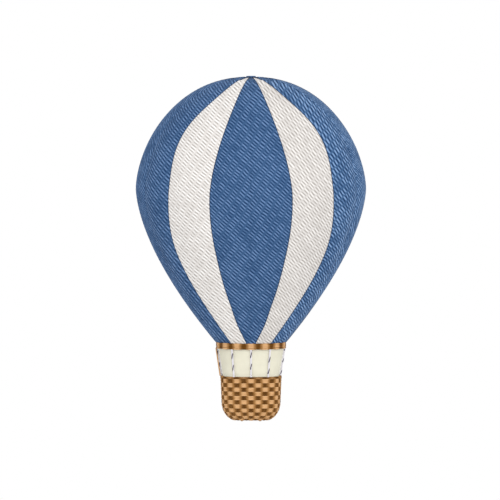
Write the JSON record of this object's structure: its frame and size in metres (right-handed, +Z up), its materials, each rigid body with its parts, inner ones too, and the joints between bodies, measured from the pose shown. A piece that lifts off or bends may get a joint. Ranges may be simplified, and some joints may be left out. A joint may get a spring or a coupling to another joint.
{
  "type": "hot air balloon",
  "caption": "Blue and white hot air balloon: gored envelope with parachute valve, wound mouth hoop, roped cloth scoop, gimballed burner and woven basket.",
  "frame": {"origin": "on the balloon's axis, level with the envelope's equator, where the air holds it up", "axes": "+Z up along the axis, front at -Y with the scoop's opening at +Y, +X to the viewer's right from the front"},
  "size_m": [8.9754, 8.981, 13.5304],
  "materials": {
    "blue_cloth": "lustrous slanted thread",
    "white_cloth": "lustrous slanted thread",
    "cream_cloth": "matt plain cloth",
    "tape": "woven tape",
    "rope": "laid rope with dark flecks",
    "cane": "woven cane, varnished",
    "wood": "oiled",
    "alloy": "brushed",
    "steel": "brushed, heat tinted at the cans",
    "black": "padded sleeve"
  },
  "bodies": {
    "balloon": {"gore_front_right_1": "blue_cloth", "gore_front_right_2": "white_cloth", "gore_front_right_3": "blue_cloth", "gore_front_right_4": "blue_cloth", "gore_back_right_1": "blue_cloth", "gore_back_right_2": "white_cloth", "gore_back_right_3": "blue_cloth", "gore_back_right_4": "blue_cloth", "gore_back_left_1": "blue_cloth", "gore_back_left_2": "white_cloth", "gore_back_left_3": "blue_cloth", "gore_back_left_4": "blue_cloth", "gore_front_left_1": "blue_cloth", "gore_front_left_2": "white_cloth", "gore_front_left_3": "blue_cloth", "gore_front_left_4": "blue_cloth", "load_tapes": "tape", "crown_ring": "alloy", "mouth_hoop": "cane", "rope_front": "rope", "rope_front_right": "rope", "rope_right": "rope", "rope_back_right": "rope", "rope_back": "rope", "rope_back_left": "rope", "rope_left": "rope", "rope_front_left": "rope", "scoop": "cream_cloth", "basket_wall": "cane", "basket_rim": "cane", "floor_deck": "wood", "floor_bearer_left": "wood", "floor_bearer_right": "wood", "runner_left": "wood", "runner_right": "wood", "upright_front_left": "black", "upright_front_right": "black", "upright_back_left": "black", "upright_back_right": "black", "burner_frame": "alloy", "fuel_cylinder_front_left": "alloy", "fuel_cylinder_front_right": "alloy", "fuel_cylinder_back_left": "alloy", "fuel_cylinder_back_right": "alloy"},
    "parachute_valve": {"parachute_valve_panel": "blue_cloth"},
    "gimbal": {"gimbal_ring": "steel"},
    "burner": {"burner_base": "steel", "burner_can_left": "steel", "burner_can_right": "steel"}
  },
  "joints": [
    {"name": "valve_pull", "type": "slide", "parent": "balloon", "child": "parachute_valve", "axis": [0, 0, -1], "range_m": [0, 1.2], "stiffness_N_per_m": 25, "springref_m": -4},
    {"name": "gimbal_tilt", "type": "hinge", "parent": "balloon", "child": "gimbal", "pos_m": [0, 0, -6.72], "axis": [1, 0, 0], "range_deg": [-12, 12]},
    {"name": "burner_tilt", "type": "hinge", "parent": "gimbal", "child": "burner", "pos_m": [0, 0, -6.72], "axis": [0, 1, 0], "range_deg": [-12, 12]}
  ]
}
